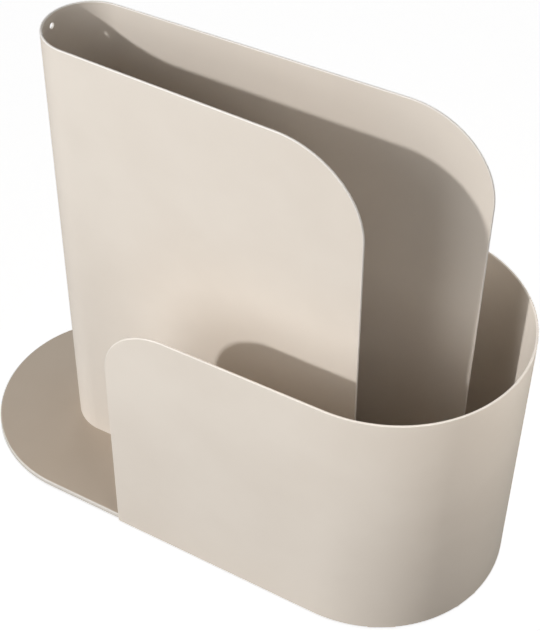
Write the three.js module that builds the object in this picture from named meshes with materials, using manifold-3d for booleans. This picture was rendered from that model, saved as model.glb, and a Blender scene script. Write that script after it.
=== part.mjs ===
// Magazine holder: a tall narrow pocket and a low outer wall, both of thin bent sheet steel, on a
// thicker plate with half-round ends. The pocket splits the width in three, so the holder has a
// compartment in front of the pocket, one in it and one behind it.
// Millimetres, +Z up. The origin is on the surface that the holder stands on, under the middle of its
// overall length and depth. +X is the closed, rounded end, and -Y is the front.

import * as THREE from 'three';
import { mergeVertices } from 'three/addons/utils/BufferGeometryUtils.js';
import Module from 'manifold-3d';

const wasm = await Module();
wasm.setup();

// Overall sizes
const LENGTH = 281;              // from the bare end of the plate to the outside of the rounded end
const DEPTH = 130;               // outside the low wall, front to back
const LOW_WALL_HEIGHT = 142;
const POCKET_TOP = 244;          // from the underside of the plate to the pocket's rim

// Stock
const SHEET = 1.2;               // both bent walls
const PLATE = 3;                 // base plate

// Low wall
const WALL_START = 106;          // from the bare end of the plate to the wall's two free edges
const WALL_CORNER = 32;          // radius of the rounded corner at the top of each free edge
const PLATE_CLEARANCE = 0.1;     // between the edge of the plate and the wall bent round it

// Pocket
const POCKET_INSET = 43.5;       // from the bare end of the plate to the outside of the pocket's bend
const POCKET_DEPTH = 43;         // outside the two panels
const POCKET_GAP = 30;           // from the back panel's free edge to the inside of the rounded end
const FRONT_SHORTER = 36;        // how much sooner the front panel ends than the back one
const POCKET_CORNER = 42;        // radius of the rounded corner at the top of each free edge
const POCKET_SPREAD = 6.5;       // how far the front panel's free edge stands open at the rim
const HANG_HOLE = 3.2;           // diameter of the hole that the sheet hangs from while it is coated
const HANG_HOLE_DROP = 6;        // from the rim to the middle of that hole

// Tabs under the pocket and their slots in the plate
const TAB_WIDTH = 16;
const TAB_TAPER = 0.8;           // how much each side of a tab draws in towards its tip
const TAB_SHORT = 0.3;           // how far the tips stay above the underside of the plate
const TAB_INSET = 28;            // from each end of a panel's flat stretch to the middle of its tab
const SLOT_CLEARANCE = 0.2;      // on each side of a tab

// Pads
const PAD_DIAMETER = 12;
const PAD_HEIGHT = 1.5;
const PAD_CHAMFER = 0.4;
const PAD_INSET = 13;            // from the edge of the plate to the middle of a pad
const PAD_ANGLE = 50;            // degrees from the long axis, seen from the centre of a round end

// Steps along the curves
const END_STEPS = 36;            // half circle of the low wall and of the plate's ends
const BEND_STEPS = 24;           // half circle of the pocket
const CORNER_STEPS = 12;         // quarter circle of a rounded corner
const SPREAD_STEPS = 6;          // flat stretch and height of the pocket's panels
const HOLE_STEPS = 24;

// Tolerances of the mesh
const SAME_POINT = 1e-4;         // vertices nearer than this are one
const SAME_STATION = 1e-3;       // and so are stations along a blank

// Places that follow from the sizes
const outerRadius = DEPTH / 2;
const plateRadius = outerRadius - SHEET - PLATE_CLEARANCE;
const bareEndX = -LENGTH / 2;
const bareCentreX = bareEndX + plateRadius;
const roundCentreX = LENGTH / 2 - outerRadius;
const wallStartX = bareEndX + WALL_START;
const underside = PAD_HEIGHT;
const plateTop = underside + PLATE;

const bendRadius = POCKET_DEPTH / 2 - SHEET / 2;
const bendX = bareEndX + POCKET_INSET + POCKET_DEPTH / 2;
const backEndX = LENGTH / 2 - SHEET - POCKET_GAP;
const backFlat = backEndX - bendX;
const frontFlat = backFlat - FRONT_SHORTER;
const bendLength = Math.PI * bendRadius;
const pocketHeight = POCKET_TOP - PLATE;
const frontStart = backFlat + bendLength;
const pocketLength = frontStart + frontFlat;
const tabHeight = PLATE - TAB_SHORT;

const steel = new THREE.MeshStandardMaterial({ color: 0xd8cec3, roughness: 0.62, metalness: 0.0 });
const steelPlate = new THREE.MeshStandardMaterial({ color: 0xd3c9bd, roughness: 0.62, metalness: 0.0 });
const rubber = new THREE.MeshStandardMaterial({ color: 0x3a3835, roughness: 0.9, metalness: 0.0 });

const holder = new THREE.Group();

function add(name, geometry, material, x = 0, y = 0, z = 0) {
  const mesh = new THREE.Mesh(geometry, material);
  mesh.name = name;
  mesh.position.set(x, y, z);
  holder.add(mesh);
  return mesh;
}

// Solids for cutting

function solid(geometry) {
  const bare = geometry.clone();
  bare.deleteAttribute('normal');
  bare.deleteAttribute('uv');
  const closed = mergeVertices(bare, SAME_POINT);
  const vertProperties = new Float32Array(closed.attributes.position.array);
  const triVerts = new Uint32Array(closed.index.array);
  return new wasm.Manifold(new wasm.Mesh({ numProp: 3, vertProperties, triVerts }));
}

function cut(body, ...tools) {
  const left = tools.reduce((whole, tool) => whole.subtract(solid(tool)), solid(body));
  const { vertProperties, triVerts } = left.getMesh();
  const result = new THREE.BufferGeometry();
  result.setAttribute('position', new THREE.BufferAttribute(vertProperties, 3));
  result.setIndex(new THREE.BufferAttribute(triVerts, 1));
  return result;
}

// Stations along a blank

/** Even steps from one place to another, both ends included. */
function evenly(from, to, steps) {
  return Array.from({ length: steps + 1 }, (_, i) => from + (to - from) * i / steps);
}

/** Steps that cut a quarter circle into equal angles, from a free edge at 0 to its corner radius. */
function cornerSteps(radius) {
  return evenly(0, Math.PI / 2, CORNER_STEPS).map((angle) => radius * (1 - Math.cos(angle)));
}

/** Sorts the stations and leaves out those that fall on one another. */
function inOrder(stations) {
  const sorted = stations.toSorted((a, b) => a - b);
  return sorted.filter((u, i) => i === 0 || u - sorted[i - 1] > SAME_STATION);
}

/** Height of the top edge, with a rounded corner at both ends of the blank. */
function roundedTop(length, height, radius) {
  const drop = (fromEnd) => {
    const inside = Math.max(0, radius - fromEnd);
    return radius - Math.sqrt(radius * radius - inside * inside);
  };
  return (u) => height - drop(u) - drop(length - u);
}

/**
 * Rolls a flat blank. The stations are places along the blank, bottomAt and topAt give its edges there,
 * and place(u, z) gives the middle of the sheet in plan and the direction that its outside faces.
 */
function rolledSheet(stations, rows, bottomAt, topAt, place) {
  const columns = stations.length - 1;
  const blank = new THREE.BoxGeometry(1, 1, 1, columns, rows, 1);
  const points = blank.attributes.position;
  for (let i = 0; i < points.count; i++) {
    const u = stations[Math.round((points.getX(i) + 0.5) * columns)];
    const share = points.getY(i) + 0.5;
    const offset = points.getZ(i) * SHEET;
    const z = bottomAt(u) + share * (topAt(u) - bottomAt(u));
    const { middle, outside } = place(u, z);
    points.setXYZ(i, middle.x + outside.x * offset, middle.y + outside.y * offset, z);
  }
  return blank;
}

const facing = (angle) => new THREE.Vector2(Math.cos(angle), Math.sin(angle));

// Base plate

function basePlate() {
  const outline = new THREE.Shape();
  outline.absarc(roundCentreX, 0, plateRadius, -Math.PI / 2, Math.PI / 2, false);
  outline.absarc(bareCentreX, 0, plateRadius, Math.PI / 2, 3 * Math.PI / 2, false);
  const stock = { depth: PLATE, bevelEnabled: false, curveSegments: END_STEPS };
  const blank = new THREE.ExtrudeGeometry(outline, stock);
  const slotLength = TAB_WIDTH + 2 * SLOT_CLEARANCE;
  const slotWidth = SHEET + 2 * SLOT_CLEARANCE;
  const throughPlate = 2 * PLATE;
  const slots = tabs().map(({ x, y }) => {
    const slot = new THREE.BoxGeometry(slotLength, slotWidth, throughPlate);
    return slot.translate(x, y, PLATE / 2);
  });
  return cut(blank, ...slots);
}

// Low wall: along the front, round the closed end and back along the rear

function lowWall() {
  const middleRadius = outerRadius - SHEET / 2;
  const flat = roundCentreX - wallStartX;
  const turn = Math.PI * middleRadius;
  const length = flat + turn + flat;
  const corner = cornerSteps(WALL_CORNER);
  const stations = inOrder([
    ...corner,
    ...evenly(flat, flat + turn, END_STEPS),
    ...corner.map((u) => length - u),
  ]);
  const place = (u) => {
    const alongTurn = THREE.MathUtils.clamp(u - flat, 0, turn);
    const outside = facing(-Math.PI / 2 + alongTurn / middleRadius);
    const beyond = u < flat ? flat - u : Math.max(0, u - flat - turn);
    const middle = new THREE.Vector2(roundCentreX - beyond, 0).addScaledVector(outside, middleRadius);
    return { middle, outside };
  };
  return rolledSheet(stations, 1, () => 0, roundedTop(length, LOW_WALL_HEIGHT, WALL_CORNER), place);
}

// Pocket: from the back panel's free edge round the bend to the front panel's free edge

/** Where the tabs are along the blank, and where that is in plan. */
function tabs() {
  const y = bendRadius;
  return [
    { u: TAB_INSET, x: bendX + backFlat - TAB_INSET, y },
    { u: backFlat - TAB_INSET, x: bendX + TAB_INSET, y },
    { u: frontStart + TAB_INSET, x: bendX + TAB_INSET, y: -y },
    { u: pocketLength - TAB_INSET, x: bendX + frontFlat - TAB_INSET, y: -y },
  ];
}

function pocketBottom(u) {
  const onTab = tabs().some((tab) => Math.abs(u - tab.u) < TAB_WIDTH / 2 - TAB_TAPER / 2);
  return onTab ? -tabHeight : 0;
}

/** The angle that the front panel is turned open by at a height over the plate. */
function spreadAt(z) {
  return Math.asin(POCKET_SPREAD / frontFlat) * Math.max(0, z) / pocketHeight;
}

function pocketPlace(u, z) {
  const turned = Math.PI - spreadAt(z);
  const alongBend = THREE.MathUtils.clamp((u - backFlat) / bendLength, 0, 1);
  const outside = facing(Math.PI / 2 + alongBend * turned);
  const centre = new THREE.Vector2(bendX, 0);
  if (u < backFlat) {
    centre.x += backFlat - u;
  } else if (u > frontStart) {
    centre.addScaledVector(new THREE.Vector2(-outside.y, outside.x), u - frontStart);
  }
  return { middle: centre.addScaledVector(outside, bendRadius), outside };
}

function pocketWall() {
  const corner = cornerSteps(POCKET_CORNER);
  const tabEdges = tabs().flatMap(({ u }) => [
    u - TAB_WIDTH / 2,
    u - TAB_WIDTH / 2 + TAB_TAPER,
    u + TAB_WIDTH / 2 - TAB_TAPER,
    u + TAB_WIDTH / 2,
  ]);
  const stations = inOrder([
    ...corner,
    ...evenly(backFlat, frontStart, BEND_STEPS),
    ...evenly(frontStart, pocketLength - POCKET_CORNER, SPREAD_STEPS),
    ...corner.map((u) => pocketLength - u),
    ...tabEdges,
  ]);
  const top = roundedTop(pocketLength, pocketHeight, POCKET_CORNER);
  const sheet = rolledSheet(stations, SPREAD_STEPS, pocketBottom, top, pocketPlace);
  const drill = new THREE.CylinderGeometry(HANG_HOLE / 2, HANG_HOLE / 2, bendRadius, HOLE_STEPS);
  drill.rotateZ(Math.PI / 2);
  drill.translate(bendX - bendRadius, 0, pocketHeight - HANG_HOLE_DROP);
  return cut(sheet, drill);
}

// Pads

function footPad() {
  const radius = PAD_DIAMETER / 2;
  const profile = [
    new THREE.Vector2(0, 0),
    new THREE.Vector2(radius - PAD_CHAMFER, 0),
    new THREE.Vector2(radius, PAD_CHAMFER),
    new THREE.Vector2(radius, PAD_HEIGHT),
    new THREE.Vector2(0, PAD_HEIGHT),
  ];
  return new THREE.LatheGeometry(profile, END_STEPS).rotateX(Math.PI / 2);
}

add('base_plate', basePlate(), steelPlate, 0, 0, underside);
add('low_wall', lowWall(), steel, 0, 0, underside);
add('pocket_wall', pocketWall(), steel, 0, 0, plateTop);

const padReach = facing(THREE.MathUtils.degToRad(PAD_ANGLE)).multiplyScalar(plateRadius - PAD_INSET);
let padNumber = 1;
for (const x of [bareCentreX - padReach.x, roundCentreX + padReach.x]) {
  for (const y of [-padReach.y, padReach.y]) {
    add(`foot_pad_${padNumber}`, footPad(), rubber, x, y);
    padNumber += 1;
  }
}

export default holder;
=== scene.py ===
"""Looks of the magazine holder: the bent sheets and the plate with their soft coated edges, the welds and
the pads, the powder coat, the light and the camera.

Everything is in metres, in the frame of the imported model."""

import math

import bmesh
import bpy
from mathutils import Matrix, Vector


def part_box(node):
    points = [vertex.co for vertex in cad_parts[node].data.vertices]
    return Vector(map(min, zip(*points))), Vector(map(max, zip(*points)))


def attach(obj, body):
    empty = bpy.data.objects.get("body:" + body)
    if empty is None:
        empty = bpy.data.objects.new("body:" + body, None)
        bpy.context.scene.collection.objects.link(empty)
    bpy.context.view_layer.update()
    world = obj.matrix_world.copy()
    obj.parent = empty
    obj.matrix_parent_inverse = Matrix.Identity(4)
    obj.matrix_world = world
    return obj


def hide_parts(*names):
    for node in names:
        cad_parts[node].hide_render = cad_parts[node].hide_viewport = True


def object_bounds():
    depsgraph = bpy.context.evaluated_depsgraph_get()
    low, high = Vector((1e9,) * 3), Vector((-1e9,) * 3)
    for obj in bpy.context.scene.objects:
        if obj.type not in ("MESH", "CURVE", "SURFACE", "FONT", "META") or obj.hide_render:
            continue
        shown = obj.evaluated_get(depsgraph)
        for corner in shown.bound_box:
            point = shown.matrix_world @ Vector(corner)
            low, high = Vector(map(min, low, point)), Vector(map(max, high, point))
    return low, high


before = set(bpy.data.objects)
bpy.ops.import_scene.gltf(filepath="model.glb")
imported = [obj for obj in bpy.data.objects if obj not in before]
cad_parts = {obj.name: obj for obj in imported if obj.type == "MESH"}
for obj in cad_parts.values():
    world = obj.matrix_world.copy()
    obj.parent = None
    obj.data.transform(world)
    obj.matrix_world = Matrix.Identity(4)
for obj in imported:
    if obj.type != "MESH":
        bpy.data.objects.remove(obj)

MM = 0.001
SAME_PLACE = 0.01 * MM           # corners closer together than this count as one place

# Sheets
SHEET = 1.2 * MM
WALL_CORNER = 32 * MM            # rounded corner at the top of the low wall's free edges
POCKET_CORNER = 42 * MM          # the same on the pocket's two panels
FRONT_SHORTER = 36 * MM          # how much sooner the pocket's front panel ends than its back one
FRONT_SPREAD = 6.5 * MM          # how far the front panel's free edge stands open at the rim
HANG_HOLE = 3.2 * MM             # diameter of the hole under the pocket's rim
HANG_HOLE_DROP = 6 * MM          # from the rim to the middle of that hole

# Tabs under the pocket, in the slots of the plate
TAB_WIDTH = 16 * MM
TAB_INSET = 28 * MM              # from each end of a panel's flat stretch to the middle of its tab
SLOT_CLEARANCE = 0.2 * MM
SLOT_CUT_HEIGHT = 10 * MM        # of the block that cuts a slot

# Welds under the plate
SLOT_BEAD = (19 * MM, 3.4 * MM, 0.5 * MM)        # length, width and height
STITCH_BEAD = (14 * MM, 2.0 * MM, 0.35 * MM)
STRAIGHT_STITCHES = (-24 * MM, 18 * MM, 60 * MM)
ROUND_STITCHES = (-60, -20, 20, 60)              # degrees round the closed end

# Rubber pads
PAD_RIM = 1.6 * MM               # from the outside to the hollow underneath
HOLLOW_SLOPE = 0.5 * MM
HOLLOW_DEPTH = 0.3 * MM

# Roundings of the coated edges
SHEET_EDGE = 0.55 * MM
HOLE_EDGE = 0.12 * MM
PLATE_TOP_EDGE = 0.8 * MM
PLATE_FOOT_EDGE = 0.2 * MM
SLOT_EDGE = 0.15 * MM
PAD_EDGE = 0.25 * MM
NARROW_FACE = 0.45 * MM          # faces narrower than this belong to a rounded edge
PLATE_NARROW_FACE = 2.3 * MM     # the same for the plate, with the band round its outside
SHARP = 50                       # degrees: edges sharper than this are rounded
PAD_SHARP = 30                   # the same on the pads
SMOOTH = 40                      # degrees: faces that meet at less than this are shaded as one
FLATTEST_FIRST = 60              # how much the large faces lead in the shading

# Fineness of the meshes
WALL_BEND_STEPS = 96
WALL_ROWS = 5                    # cuts along the low wall, and across each of its straight runs
WALL_COLUMNS = 4
POCKET_BEND_STEPS = 64
POCKET_ROWS = 9
POCKET_COLUMNS = 7
CORNER_STEPS = 28
PLATE_STEPS = 192
HOLE_STEPS = 32
PAD_STEPS = 64
SEAM_STEPS = 4                   # across the rounded edge of a sheet or plate
PAD_SEAM_STEPS = 3
BEAD_STEPS = (24, 12)            # round a weld bead, and from end to end
FLOOR_STEPS = 96

# Powder coat: sizes of its orange peel and of its drift in millimetres, and how they show
COAT_PEEL = 1.3
COAT_DRIFT = 55.0
DRIFT_RANGE = (0.35, 0.65)       # share of the noise over which the deep tone turns pale
SPECK_RANGE = (0.68, 0.8)
SPECK_STRENGTH = 0.25
SPECK_SIZE = 0.35                # of the peel's size
PEEL_RANGE = (0.3, 0.7)
COAT_ROUGHNESS = (0.5, 0.58)
EDGE_ROUGHNESS = 0.7             # of the roughness elsewhere
COAT_SHINE = 0.4
BUMP_STRENGTH = 0.5
COAT_BUMP = 0.025 * MM

# Tones of the powder coat: pale and deep where it drifts, and a paler tone along the rounded edges that is
# a painted highlight, softer on the low wall
COAT_PALE = (0.745, 0.672, 0.592)
COAT_DEEP = (0.715, 0.640, 0.560)
COAT_EDGE_HIGHLIGHT = (0.84, 0.79, 0.735)
WALL_EDGE_HIGHLIGHT = (0.76, 0.695, 0.625)
# The plate is the same powder coat in darker tones, painted shade of its flat top under the low light, with
# a paler painted highlight along its edges
PLATE_SHADED_PALE = (0.515, 0.432, 0.35)
PLATE_SHADED_DEEP = (0.49, 0.407, 0.325)
PLATE_EDGE_HIGHLIGHT = (0.68, 0.63, 0.57)

# Rubber of the pads
RUBBER_PALE = (0.05, 0.047, 0.044)
RUBBER_DEEP = (0.035, 0.033, 0.031)
RUBBER_PEEL = 0.5
RUBBER_DRIFT = 5.0
RUBBER_DRIFT_RANGE = (0.3, 0.7)
RUBBER_ROUGHNESS = (0.75, 0.9)
RUBBER_BUMP = 0.03 * MM

# Camera of the photograph, fitted to the outlines of the holder
PHOTO_WIDTH = 540
PHOTO_HEIGHT = 631
SENSOR = 36.0
FOCAL_PIXELS = 1472.0
AXIS_PIXEL = (232.0, 240.0)      # where the lens axis meets the picture
CAMERA_AZIMUTH = 30.291
CAMERA_ELEVATION = 41.394
CAMERA_ROLL = -0.504
CAMERA_DISTANCE = 690.92 * MM
AIM_RIGHT = -4.014 * MM          # of the middle of the holder, in the picture's plane
AIM_UP = 24.274 * MM
NEAREST_SEEN = 10 * MM
FARTHEST_SEEN = 50000 * MM

# Key light, from the shadow of the pocket's rim and the spot of light that falls through its hole
KEY_TRAVEL = (0.574, 0.718, -0.394)
KEY_ANGLE = 2.4
KEY_STRENGTH = 2.0
KEY_COLOUR = (0.993, 1.0, 1.006)

# Soft lamps round the holder: degrees round from +x, degrees up, watts, colour
LAMP_DISTANCE = 450 * MM
LAMP_SIZE = 250 * MM
LAMPS = {
    "front_left_low": (-110, 12, 0.49, (0.97, 1.0, 1.025)),
    "front_left_high": (-110, 35, 0.35, (0.97, 1.0, 1.02)),
    "right_low": (-30, 12, 0.15, (1.02, 1.0, 0.97)),
    "right_high": (-30, 35, 0.34, (1.01, 1.0, 0.985)),
    "right_back": (45, 12, 0.53, (0.96, 1.0, 0.99)),
    "back_right": (80, 12, 0.41, (1.0, 1.0, 1.0)),
    "back_left": (125, 10, 0.42, (1.0, 0.98, 0.95)),
}

# Nearer lamp beside the rounded end, for the low wall alone, which is paler towards its rim
WALL_LAMP = (-10, 14, 0.22, (1.03, 1.0, 0.96))
WALL_LAMP_DISTANCE = 320 * MM

# Soft light from above and behind that picks out the upper edges of the sheets
EDGE_LIGHT_TRAVEL = (0.1, -0.25, -1.0)
EDGE_LIGHT_ANGLE = 12.0
EDGE_LIGHT_STRENGTH = 0.5
EDGE_LIGHT_COLOUR = (1.0, 1.0, 1.0)

# Pale studio round it
STUDIO_LIGHT = 0.1
STUDIO_WHITE = (1.0, 1.0, 1.0)
FLOOR_TONE = 0.86
FLOOR_ROUGHNESS = 0.9
FLOOR_REACH = 4000 * MM

bpy.context.view_layer.update()
cad_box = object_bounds()


def select_only(piece):
    """Selects the piece alone and makes it the active object."""
    bpy.ops.object.select_all(action="DESELECT")
    piece.select_set(True)
    bpy.context.view_layer.objects.active = piece


def named(name):
    """Names the object that was just added, with its mesh, and puts its place into the mesh."""
    piece = bpy.context.active_object
    piece.name = name
    piece.data.name = name
    bpy.ops.object.transform_apply(location=True, rotation=True, scale=True)
    return piece


def pick(kind, wanted):
    """In edit mode, selects the vertices, edges or faces that are wanted, and nothing else."""
    bpy.ops.mesh.select_all(action="DESELECT")
    bpy.ops.mesh.select_mode(type=kind)
    shape = bmesh.from_edit_mesh(bpy.context.edit_object.data)
    parts = {"VERT": shape.verts, "EDGE": shape.edges, "FACE": shape.faces}[kind]
    for part in parts:
        part.select = wanted(part)
    shape.select_flush_mode()
    bmesh.update_edit_mesh(bpy.context.edit_object.data)


def near(value, place, within=SAME_PLACE):
    """True where two lengths or shares agree."""
    return abs(value - place) < within


def edge_at(axis, place):
    """A test for edges whose two ends both lie at a place along an axis."""
    return lambda edge: all(near(vertex.co[axis], place) for vertex in edge.verts)


def on_straight_run(face):
    """True for a face that looks straight to the front or to the back."""
    return near(abs(face.normal.y), 1, 0.001)


def slice_at(axis, places, where=lambda face: True):
    """In edit mode, cuts the chosen faces square to an axis, at each of the places."""
    for place in places:
        pick("FACE", where)
        point = Vector((0, 0, 0))
        point[axis] = place
        normal = Vector((0, 0, 0))
        normal[axis] = 1
        bpy.ops.mesh.bisect(plane_co=point, plane_no=normal)


def between(low, high, count):
    """Evenly spread places between two ends, the ends left out."""
    return [low + (high - low) * i / (count + 1) for i in range(1, count + 1)]


def modify(piece, kind, **settings):
    """Adds a modifier with these settings and applies it."""
    select_only(piece)
    modifier = piece.modifiers.new(kind.lower(), kind)
    for name, value in settings.items():
        setattr(modifier, name, value)
    bpy.ops.object.modifier_apply(modifier=modifier.name)


def face_outwards(piece, point_inside):
    """Turns an open sheet so that its faces look away from a point inside."""
    mesh = piece.data
    total = sum((face.center - point_inside).dot(face.normal) * face.area for face in mesh.polygons)
    if total < 0:
        mesh.flip_normals()


def round_edges(piece, width, segments=SEAM_STEPS, angle=SHARP):
    """Rounds the edges that are sharper than the angle, as the coat leaves them."""
    modify(piece, "BEVEL", width=width, segments=segments, limit_method="ANGLE",
           angle_limit=math.radians(angle), use_clamp_overlap=True, miter_outer="MITER_ARC")


def shade_smooth(piece):
    """Shades the bends and rounded edges smooth and keeps the flat faces flat."""
    select_only(piece)
    bpy.ops.object.shade_smooth_by_angle(angle=math.radians(SMOOTH))
    modify(piece, "WEIGHTED_NORMAL", mode="FACE_AREA", weight=FLATTEST_FIRST, keep_sharp=True)


def mark_edges(piece, width):
    """Stores 1 on each vertex that lies on a rounded edge, where all faces are narrower than the width."""
    shape = bmesh.new()
    shape.from_mesh(piece.data)
    layer = shape.verts.layers.float.new("edge")
    for vertex in shape.verts:
        narrow = all(face.calc_area() < width * max(edge.calc_length() for edge in face.edges)
                     for face in vertex.link_faces)
        vertex[layer] = float(narrow)
    shape.to_mesh(piece.data)
    shape.free()


def finish_sheet(piece, edge, narrow=NARROW_FACE):
    """Rounds and shades a piece of sheet or plate, and marks its rounded edges, which get a painted
    highlight and a smoother coat.
    """
    round_edges(piece, edge)
    shade_smooth(piece)
    mark_edges(piece, narrow)


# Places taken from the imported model
plate_low, plate_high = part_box("base_plate")
wall_low, wall_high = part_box("low_wall")
pocket_low, pocket_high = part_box("pocket_wall")

wall_radius = (wall_high.y - wall_low.y) / 2 - SHEET / 2
round_x = wall_high.x - (wall_high.y - wall_low.y) / 2
plate_radius = (plate_high.y - plate_low.y) / 2
bare_x = plate_low.x + plate_radius

bend_radius = pocket_high.y - SHEET / 2
bend_x = pocket_low.x + pocket_high.y
back_end = pocket_high.x
front_end = back_end - FRONT_SHORTER
pocket_floor = plate_high.z
rim = pocket_high.z


def bent_strip(name, start, turn_x, radius, end, low, high, steps):
    """A strip that runs along y = -radius from start to turn_x, half round a bend, and back to end."""
    way = 1 if turn_x > start else -1
    bpy.ops.object.select_all(action="DESELECT")
    middle = ((start + turn_x) / 2, -radius, (low + high) / 2)
    bpy.ops.mesh.primitive_plane_add(size=1, location=middle, rotation=(math.pi / 2, 0, 0))
    bpy.context.active_object.scale = (abs(turn_x - start), high - low, 1)
    strip = named(name)
    bpy.ops.object.mode_set(mode="EDIT")
    pick("EDGE", edge_at(0, turn_x))
    bpy.ops.mesh.spin(steps=steps, angle=-math.pi * way, center=(turn_x, 0, 0), axis=(0, 0, 1))
    pick("EDGE", lambda edge: edge_at(0, turn_x)(edge) and edge_at(1, radius)(edge))
    bpy.ops.mesh.extrude_region_move(TRANSFORM_OT_translate={"value": (end - turn_x, 0, 0)})
    bpy.ops.object.mode_set(mode="OBJECT")
    return strip


def round_top_corner(x, y, high, radius):
    """In edit mode, rounds the top corner at a free edge."""
    pick("VERT", lambda v: near(v.co.x, x) and near(v.co.y, y) and near(v.co.z, high))
    bpy.ops.mesh.bevel(affect="VERTICES", offset=radius, offset_type="OFFSET", segments=CORNER_STEPS,
                       profile=0.5)


def low_wall():
    """The low wall: a bent strip with two rounded corners."""
    start = wall_low.x
    low = wall_low.z
    high = wall_high.z
    sheet = bent_strip("low_wall_sheet", start, round_x, wall_radius, start, low, high, WALL_BEND_STEPS)
    bpy.ops.object.mode_set(mode="EDIT")
    for y in (-wall_radius, wall_radius):
        round_top_corner(start, y, high, WALL_CORNER)
    slice_at(2, between(low, high, WALL_ROWS))
    slice_at(0, between(start, round_x, WALL_COLUMNS), on_straight_run)
    bpy.ops.object.mode_set(mode="OBJECT")
    face_outwards(sheet, Vector((round_x, 0, high / 2)))
    modify(sheet, "SOLIDIFY", thickness=SHEET, offset=0, use_even_offset=True)
    finish_sheet(sheet, SHEET_EDGE)
    return sheet


def stand_open(sheet):
    """Turns the front panel about the axis of the bend, more towards the rim, and lets the bend follow."""
    most = math.asin(FRONT_SPREAD / (front_end - bend_x))
    for vertex in sheet.data.vertices:
        x = vertex.co.x - bend_x
        y = vertex.co.y
        share = math.atan2(-x, y) / math.pi if x < 0 else float(y < 0)
        height = max(0, vertex.co.z - pocket_floor) / (rim - pocket_floor)
        turned = Matrix.Rotation(-most * height * share, 2) @ Vector((x, y))
        vertex.co.x = bend_x + turned.x
        vertex.co.y = turned.y


def tab_places():
    """The middle of each tab, as x and the side that it is on."""
    places = [(bend_x + TAB_INSET, 1), (back_end - TAB_INSET, 1)]
    return places + [(bend_x + TAB_INSET, -1), (front_end - TAB_INSET, -1)]


def draw_out_tab(x, side):
    """In edit mode, draws one tab down from the lower edge of a panel."""
    def under_tab(edge):
        middle = (edge.verts[0].co + edge.verts[1].co) / 2
        inside = abs(middle.x - x) < TAB_WIDTH / 2 and middle.y * side > 0
        return edge_at(2, pocket_floor)(edge) and inside

    pick("EDGE", under_tab)
    down = (0, 0, pocket_low.z - pocket_floor)
    bpy.ops.mesh.extrude_region_move(TRANSFORM_OT_translate={"value": down})


def slice_panel(side, end):
    """In edit mode, slices one of the pocket's panels from end to end, and its lower row at the tabs."""
    def on_panel(face):
        return on_straight_run(face) and face.calc_center_median().y * side > 0

    def lowest_on_panel(face):
        return on_panel(face) and any(near(vertex.co.z, pocket_floor) for vertex in face.verts)

    slice_at(0, between(bend_x, end, POCKET_COLUMNS), on_panel)
    edges = [x + half for x, tab_side in tab_places() if tab_side == side
             for half in (-TAB_WIDTH / 2, TAB_WIDTH / 2)]
    slice_at(0, edges, lowest_on_panel)


def pocket():
    """The tall pocket: a bent strip with rounded corners and tabs, opened at the rim and drilled."""
    sheet = bent_strip("pocket_sheet", front_end, bend_x, bend_radius, back_end, pocket_floor, rim,
                       POCKET_BEND_STEPS)
    bpy.ops.object.mode_set(mode="EDIT")
    round_top_corner(front_end, -bend_radius, rim, POCKET_CORNER)
    round_top_corner(back_end, bend_radius, rim, POCKET_CORNER)
    slice_at(2, between(pocket_floor, rim, POCKET_ROWS))
    for side, end in ((-1, front_end), (1, back_end)):
        slice_panel(side, end)
    for x, side in tab_places():
        draw_out_tab(x, side)
    bpy.ops.object.mode_set(mode="OBJECT")
    stand_open(sheet)
    face_outwards(sheet, Vector((bend_x, 0, rim / 2)))
    modify(sheet, "SOLIDIFY", thickness=SHEET, offset=0, use_even_offset=True)
    round_edges(sheet, SHEET_EDGE)
    drill_hole(sheet)
    finish_sheet(sheet, HOLE_EDGE)
    return sheet


def drill_hole(sheet):
    """Drills the hole that the sheet hangs from while it is coated, in the middle of the bend."""
    place = (pocket_low.x, 0, rim - HANG_HOLE_DROP)
    bpy.ops.object.select_all(action="DESELECT")
    bpy.ops.mesh.primitive_cylinder_add(vertices=HOLE_STEPS, radius=HANG_HOLE / 2, depth=bend_radius / 2,
                                        location=place, rotation=(0, math.pi / 2, 0))
    drill = named("drill")
    modify(sheet, "BOOLEAN", operation="DIFFERENCE", object=drill, solver="EXACT")
    bpy.data.objects.remove(drill)


def draw_out(turn_x, end_x):
    """In edit mode, parts a round shape at turn_x and draws its left half out to end_x."""
    slice_at(0, [turn_x])
    pick("FACE", lambda face: face.calc_center_median().x < turn_x)
    bpy.ops.mesh.split()
    bpy.ops.transform.translate(value=(end_x - turn_x, 0, 0))
    pick("EDGE", lambda edge: edge.is_boundary)
    bpy.ops.mesh.bridge_edge_loops()


def base_plate():
    """The plate with two half-round ends, rounded edges and four slots."""
    bpy.ops.object.select_all(action="DESELECT")
    middle = (round_x, 0, (plate_low.z + plate_high.z) / 2)
    bpy.ops.mesh.primitive_cylinder_add(vertices=PLATE_STEPS, radius=plate_radius,
                                        depth=plate_high.z - plate_low.z, location=middle)
    plate = named("plate")
    bpy.ops.object.mode_set(mode="EDIT")
    draw_out(round_x, bare_x)
    for level, width in ((plate_high.z, PLATE_TOP_EDGE), (plate_low.z, PLATE_FOOT_EDGE)):
        pick("EDGE", lambda edge: edge_at(2, level)(edge) and edge.calc_face_angle(0) > math.radians(SHARP))
        bpy.ops.mesh.bevel(offset=width, segments=SEAM_STEPS)
    bpy.ops.object.mode_set(mode="OBJECT")
    for x, side in tab_places():
        cut_slot(plate, x, side * bend_radius)
    finish_sheet(plate, SLOT_EDGE, PLATE_NARROW_FACE)
    return plate


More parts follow.
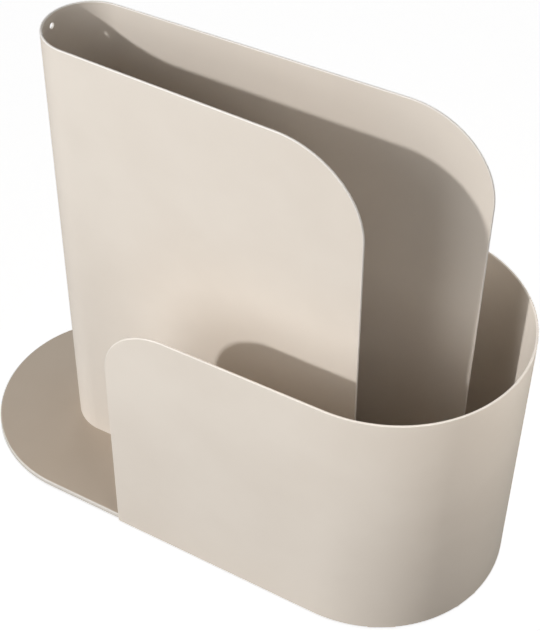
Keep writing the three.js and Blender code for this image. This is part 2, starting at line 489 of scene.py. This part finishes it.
def cut_slot(plate, x, y):
    """Cuts the slot of one tab right through the plate."""
    bpy.ops.object.select_all(action="DESELECT")
    bpy.ops.mesh.primitive_cube_add(size=1, location=(x, y, plate_low.z))
    bpy.context.active_object.scale = (TAB_WIDTH + 2 * SLOT_CLEARANCE, SHEET + 2 * SLOT_CLEARANCE,
                                       SLOT_CUT_HEIGHT)
    cutter = named("slot_cutter")
    modify(plate, "BOOLEAN", operation="DIFFERENCE", object=cutter, solver="EXACT")
    bpy.data.objects.remove(cutter)


def pad(node):
    """A turned rubber pad with a shallow hollow underneath."""
    low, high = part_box(node)
    bpy.ops.object.select_all(action="DESELECT")
    bpy.ops.mesh.primitive_cylinder_add(vertices=PAD_STEPS, radius=(high.x - low.x) / 2,
                                        depth=high.z - low.z, location=(low + high) / 2)
    piece = named("rubber_pad")
    bpy.ops.object.mode_set(mode="EDIT")
    pick("FACE", lambda face: face.normal.z < -0.9)
    bpy.ops.mesh.inset(thickness=PAD_RIM)
    bpy.ops.mesh.inset(thickness=HOLLOW_SLOPE, depth=-HOLLOW_DEPTH)
    bpy.ops.object.mode_set(mode="OBJECT")
    round_edges(piece, PAD_EDGE, segments=PAD_SEAM_STEPS, angle=PAD_SHARP)
    shade_smooth(piece)
    return piece


def pads(nodes):
    """Models the first pad and copies it to the place of each of the others."""
    first = pad(nodes[0])
    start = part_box(nodes[0])[0]
    places = [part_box(node)[0] - start for node in nodes]
    return laid_out(first, "rubber_pad", [(place.x, place.y, 0.0) for place in places])


def weld_bead(name, length, width, height):
    """A low bead of weld, along x, with its middle under the origin, on the underside of the plate."""
    bpy.ops.object.select_all(action="DESELECT")
    round_it, along_it = BEAD_STEPS
    bpy.ops.mesh.primitive_uv_sphere_add(segments=round_it, ring_count=along_it, radius=width / 2,
                                         location=((length - width) / 2, 0, 0))
    bead = named(name)
    bpy.ops.object.mode_set(mode="EDIT")
    draw_out((length - width) / 2, (width - length) / 2)
    bpy.ops.mesh.select_all(action="SELECT")
    bpy.ops.transform.resize(value=(1, 1, 2 * height / width))
    bpy.ops.transform.translate(value=(0, 0, plate_low.z))
    bpy.ops.object.mode_set(mode="OBJECT")
    shade_smooth(bead)
    return bead


def laid_out(first, name, places):
    """Copies a piece to each place, given as x, y and degrees about the vertical, and drops the first."""
    copies = []
    for i, (x, y, degrees) in enumerate(places, 1):
        copy = bpy.data.objects.new("%s_%d" % (name, i), first.data.copy())
        copy.data.name = copy.name
        turn = Matrix.Rotation(math.radians(degrees), 4, "Z")
        copy.data.transform(Matrix.Translation((x, y, 0)) @ turn)
        bpy.context.scene.collection.objects.link(copy)
        copies.append(copy)
    bpy.data.objects.remove(first)
    return copies


def tab_welds():
    """The welds that fill the slots round the pocket's tabs, from below."""
    places = [(x, side * bend_radius, 0.0) for x, side in tab_places()]
    return laid_out(weld_bead("slot_bead", *SLOT_BEAD), "tab_weld", places)


def seam_welds():
    """Short stitches that join the low wall to the edge of the plate, from below."""
    seam = (wall_radius - SHEET / 2 + plate_radius) / 2
    places = [(x, side * seam, 0.0) for side in (-1, 1) for x in STRAIGHT_STITCHES]
    for degrees in ROUND_STITCHES:
        way = math.radians(degrees)
        places.append((round_x + seam * math.cos(way), seam * math.sin(way), degrees + 90))
    return laid_out(weld_bead("stitch_bead", *STITCH_BEAD), "seam_weld", places)


# Materials

def number_socket(group, name, way, default=0.0):
    """Gives a node group a number to take in or to put out."""
    made = group.interface.new_socket(name=name, in_out=way, socket_type="NodeSocketFloat")
    made.default_value = default


def coat_grain():
    """The fine orange peel of a powder coat, and its slow drift in tone."""
    group = bpy.data.node_groups.new("coat_grain", "ShaderNodeTree")
    number_socket(group, "Peel Size", "INPUT", COAT_PEEL)
    number_socket(group, "Drift Size", "INPUT", COAT_DRIFT)
    for name in ("Peel", "Drift", "Speck"):
        number_socket(group, name, "OUTPUT")
    nodes = group.nodes
    links = group.links
    came = nodes.new("NodeGroupInput")
    gone = nodes.new("NodeGroupOutput")
    place = nodes.new("ShaderNodeTexCoord")

    def noise(size, detail, roughness, share=1.0):
        """Noise whose size is a share of one of the group's sizes."""
        per_metre = nodes.new("ShaderNodeMath")
        per_metre.operation = "DIVIDE"
        per_metre.inputs[0].default_value = 1.0 / MM / share
        links.new(came.outputs[size], per_metre.inputs[1])
        texture = nodes.new("ShaderNodeTexNoise")
        texture.inputs["Detail"].default_value = detail
        texture.inputs["Roughness"].default_value = roughness
        links.new(place.outputs["Object"], texture.inputs["Vector"])
        links.new(per_metre.outputs[0], texture.inputs["Scale"])
        return texture.outputs["Fac"]

    links.new(noise("Peel Size", 2.0, 0.45), gone.inputs["Peel"])
    links.new(noise("Drift Size", 3.0, 0.55), gone.inputs["Drift"])
    links.new(noise("Peel Size", 1.0, 0.5, SPECK_SIZE), gone.inputs["Speck"])
    return group


def ramp(nodes, links, value, given, wanted=(0.0, 1.0)):
    """Maps a value from the given range to the wanted one and returns the output."""
    node = nodes.new("ShaderNodeMapRange")
    node.inputs["From Min"].default_value, node.inputs["From Max"].default_value = given
    node.inputs["To Min"].default_value, node.inputs["To Max"].default_value = wanted
    links.new(value, node.inputs["Value"])
    return node.outputs["Result"]


def mixed(nodes, links, share, first, second):
    """Mixes two colours by a share and returns the output."""
    node = nodes.new("ShaderNodeMix")
    node.data_type = "RGBA"
    links.new(share, node.inputs["Factor"])
    for name, value in (("A", first), ("B", second)):
        target = [s for s in node.inputs if s.name == name and s.type == "RGBA"][0]
        if isinstance(value, tuple):
            target.default_value = (*value, 1.0)
        else:
            links.new(value, target)
    return [s for s in node.outputs if s.type == "RGBA"][0]


def grained(name, grain, peel_size, drift_size, bump_height):
    """A new material with the grain as a bump, and its nodes, links, shader and grain node."""
    material = bpy.data.materials.new(name)
    material.use_nodes = True
    nodes = material.node_tree.nodes
    links = material.node_tree.links
    shader = nodes["Principled BSDF"]
    detail = nodes.new("ShaderNodeGroup")
    detail.node_tree = grain
    detail.inputs["Peel Size"].default_value = peel_size
    detail.inputs["Drift Size"].default_value = drift_size
    bump = nodes.new("ShaderNodeBump")
    bump.inputs["Strength"].default_value = BUMP_STRENGTH
    bump.inputs["Distance"].default_value = bump_height
    links.new(detail.outputs["Peel"], bump.inputs["Height"])
    links.new(bump.outputs["Normal"], shader.inputs["Normal"])
    return material, nodes, links, shader, detail


def powder_coat(name, pale, deep, edge_highlight, grain):
    """Matt powder coat: two close tones that drift, a fine orange peel, and a paler tone along the edges
    that is a painted highlight, where the coat is also less rough.
    """
    material, nodes, links, shader, detail = grained(name, grain, COAT_PEEL, COAT_DRIFT, COAT_BUMP)
    tone = mixed(nodes, links, ramp(nodes, links, detail.outputs["Drift"], DRIFT_RANGE), deep, pale)
    specks = ramp(nodes, links, detail.outputs["Speck"], SPECK_RANGE, (0.0, SPECK_STRENGTH))
    tone = mixed(nodes, links, specks, tone, deep)
    # painted highlight: on the rounded edges the base colour turns to the paler edge tone
    edge = nodes.new("ShaderNodeAttribute")
    edge.attribute_name = "edge"
    links.new(mixed(nodes, links, edge.outputs["Fac"], tone, edge_highlight), shader.inputs["Base Color"])
    gloss = nodes.new("ShaderNodeMath")
    gloss.operation = "MULTIPLY"
    links.new(ramp(nodes, links, detail.outputs["Peel"], PEEL_RANGE, COAT_ROUGHNESS), gloss.inputs[0])
    links.new(ramp(nodes, links, edge.outputs["Fac"], (0.0, 1.0), (1.0, EDGE_ROUGHNESS)), gloss.inputs[1])
    links.new(gloss.outputs[0], shader.inputs["Roughness"])
    shader.inputs["Specular IOR Level"].default_value = COAT_SHINE
    return material


def pad_rubber(grain):
    """Dark matt rubber with a fine tooth."""
    material, nodes, links, shader, detail = grained("pad_rubber", grain, RUBBER_PEEL, RUBBER_DRIFT,
                                                     RUBBER_BUMP)
    share = ramp(nodes, links, detail.outputs["Drift"], RUBBER_DRIFT_RANGE)
    links.new(mixed(nodes, links, share, RUBBER_DEEP, RUBBER_PALE), shader.inputs["Base Color"])
    tooth = ramp(nodes, links, detail.outputs["Peel"], PEEL_RANGE, RUBBER_ROUGHNESS)
    links.new(tooth, shader.inputs["Roughness"])
    return material


def dress(piece, material):
    """Gives a piece one material."""
    piece.data.materials.clear()
    piece.data.materials.append(material)


grain = coat_grain()
coat = powder_coat("powder_coat", COAT_PALE, COAT_DEEP, COAT_EDGE_HIGHLIGHT, grain)
# a copy of the coat whose painted highlight along the edges is softer, for the low wall
wall_coat_softer_highlight = powder_coat("powder_coat_wall_softer_highlight", COAT_PALE, COAT_DEEP, WALL_EDGE_HIGHLIGHT, grain)
# the plate's copy of the coat, darker as painted shade
plate_shaded_coat = powder_coat("powder_coat_plate_shaded", PLATE_SHADED_PALE, PLATE_SHADED_DEEP, PLATE_EDGE_HIGHLIGHT, grain)
rubber = pad_rubber(grain)

plate = base_plate()
wall = low_wall()
tall_pocket = pocket()
for piece, node, finish in ((plate, "base_plate", plate_shaded_coat), (wall, "low_wall", wall_coat_softer_highlight),
                            (tall_pocket, "pocket_wall", coat)):
    dress(piece, finish)
    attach(piece, "root")
    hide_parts(node)

for piece in tab_welds() + seam_welds():
    dress(piece, coat)
    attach(piece, "root")

pad_nodes = ["foot_pad_1", "foot_pad_2", "foot_pad_3", "foot_pad_4"]
for piece, node in zip(pads(pad_nodes), pad_nodes):
    dress(piece, rubber)
    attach(piece, "root")
    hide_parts(node)

for name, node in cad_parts.items():
    dress(node, rubber if name.startswith("foot_pad") else coat)


# Floor, light and camera

def floor():
    """A pale floor that the camera sees as near white, with a soft darker touch round the foot."""
    bpy.ops.object.select_all(action="DESELECT")
    bpy.ops.mesh.primitive_circle_add(vertices=FLOOR_STEPS, radius=FLOOR_REACH, fill_type="NGON",
                                      location=(0, 0, 0))
    ground = named("floor")
    material = bpy.data.materials.new("pale_floor")
    material.use_nodes = True
    nodes = material.node_tree.nodes
    links = material.node_tree.links
    shader = nodes["Principled BSDF"]
    shader.inputs["Base Color"].default_value = (FLOOR_TONE, FLOOR_TONE, FLOOR_TONE, 1.0)
    shader.inputs["Roughness"].default_value = FLOOR_ROUGHNESS
    shader.inputs["Specular IOR Level"].default_value = 0.0
    glow = nodes.new("ShaderNodeEmission")
    lift = [white - FLOOR_TONE * STUDIO_LIGHT for white in STUDIO_WHITE]
    glow.inputs["Color"].default_value = (*lift, 1.0)
    seen = nodes.new("ShaderNodeLightPath")
    links.new(seen.outputs["Is Camera Ray"], glow.inputs["Strength"])
    both = nodes.new("ShaderNodeAddShader")
    links.new(shader.outputs[0], both.inputs[0])
    links.new(glow.outputs[0], both.inputs[1])
    links.new(both.outputs[0], nodes["Material Output"].inputs["Surface"])
    dress(ground, material)
    return ground


def shine(name, kind, energy, colour, place, travel, not_lit):
    """Adds a light at a place, that travels one way and leaves out what is in the collection."""
    data = bpy.data.lights.new(name, kind)
    data.energy = energy
    data.color = colour
    lamp = bpy.data.objects.new(name, data)
    bpy.context.scene.collection.objects.link(lamp)
    lamp.location = place
    lamp.rotation_euler = travel.to_track_quat("-Z", "Y").to_euler()
    lamp.visible_camera = False
    lamp.light_linking.receiver_collection = not_lit
    return data


def left_out(name, *pieces):
    """A collection of pieces that a light leaves out."""
    group = bpy.data.collections.new(name)
    for i, piece in enumerate(pieces):
        group.objects.link(piece)
        group.collection_objects[i].light_linking.link_state = "EXCLUDE"
    return group


def soft_lamp(name, lamp, distance, middle, not_lit):
    """A round soft lamp that faces the middle of the holder."""
    around, up, watts, colour = lamp
    level = math.cos(math.radians(up))
    away = Vector((level * math.cos(math.radians(around)), level * math.sin(math.radians(around)),
                   math.sin(math.radians(up))))
    data = shine(name, "AREA", watts, colour, middle + away * distance, -away, not_lit)
    data.shape = "DISK"
    data.size = LAMP_SIZE


def lights(ground):
    """The low key light, the edge light and the soft lamps, none of which lights the floor."""
    not_lit = left_out("not_lit", ground)
    middle = (Vector(cad_box[0]) + Vector(cad_box[1])) / 2
    key = shine("key", "SUN", KEY_STRENGTH, KEY_COLOUR, middle, Vector(KEY_TRAVEL), not_lit)
    key.angle = math.radians(KEY_ANGLE)
    above = shine("edge_light", "SUN", EDGE_LIGHT_STRENGTH, EDGE_LIGHT_COLOUR, middle,
                  Vector(EDGE_LIGHT_TRAVEL), left_out("not_skimmed", ground, plate))
    above.angle = math.radians(EDGE_LIGHT_ANGLE)
    for name, lamp in LAMPS.items():
        soft_lamp(name, lamp, LAMP_DISTANCE, middle, not_lit)
    soft_lamp("wall_lamp", WALL_LAMP, WALL_LAMP_DISTANCE, middle,
              left_out("not_wall", ground, plate, tall_pocket))


def surroundings():
    """A pale studio: a low even light on the holder, and plain white where the camera sees it."""
    world = bpy.data.worlds.new("studio")
    bpy.context.scene.world = world
    world.use_nodes = True
    nodes = world.node_tree.nodes
    links = world.node_tree.links
    nodes.clear()
    light = nodes.new("ShaderNodeBackground")
    light.inputs["Strength"].default_value = STUDIO_LIGHT
    white = nodes.new("ShaderNodeBackground")
    white.inputs["Color"].default_value = (*STUDIO_WHITE, 1.0)
    seen = nodes.new("ShaderNodeLightPath")
    either = nodes.new("ShaderNodeMixShader")
    links.new(seen.outputs["Is Camera Ray"], either.inputs[0])
    links.new(light.outputs[0], either.inputs[1])
    links.new(white.outputs[0], either.inputs[2])
    output = nodes.new("ShaderNodeOutputWorld")
    links.new(either.outputs[0], output.inputs["Surface"])


def camera():
    """The photograph's own camera: its direction, distance, lens and the place of its axis."""
    azimuth = math.radians(CAMERA_AZIMUTH)
    elevation = math.radians(CAMERA_ELEVATION)
    back = Vector((math.sin(azimuth) * math.cos(elevation), -math.cos(azimuth) * math.cos(elevation),
                   math.sin(elevation)))
    right = Vector((math.cos(azimuth), math.sin(azimuth), 0))
    up = back.cross(right)
    low, high = Vector(cad_box[0]), Vector(cad_box[1])
    aim = (low + high) / 2 + right * AIM_RIGHT + up * AIM_UP
    roll = math.radians(CAMERA_ROLL)
    across = right * math.cos(roll) + up * math.sin(roll)
    upright = up * math.cos(roll) - right * math.sin(roll)
    data = bpy.data.cameras.new("camera")
    long_side = max(PHOTO_WIDTH, PHOTO_HEIGHT)
    data.sensor_width = SENSOR
    data.lens = FOCAL_PIXELS / long_side * SENSOR
    data.shift_x = (PHOTO_WIDTH / 2 - AXIS_PIXEL[0]) / long_side
    data.shift_y = (AXIS_PIXEL[1] - PHOTO_HEIGHT / 2) / long_side
    data.clip_start = NEAREST_SEEN
    data.clip_end = FARTHEST_SEEN
    eye = bpy.data.objects.new("camera", data)
    bpy.context.scene.collection.objects.link(eye)
    turn = Matrix((across, upright, back)).transposed()
    eye.matrix_world = Matrix.Translation(aim + back * CAMERA_DISTANCE) @ turn.to_4x4()
    bpy.context.scene.camera = eye


lights(floor())
surroundings()
camera()
bpy.context.scene.view_settings.view_transform = "Standard"

bpy.context.view_layer.update()
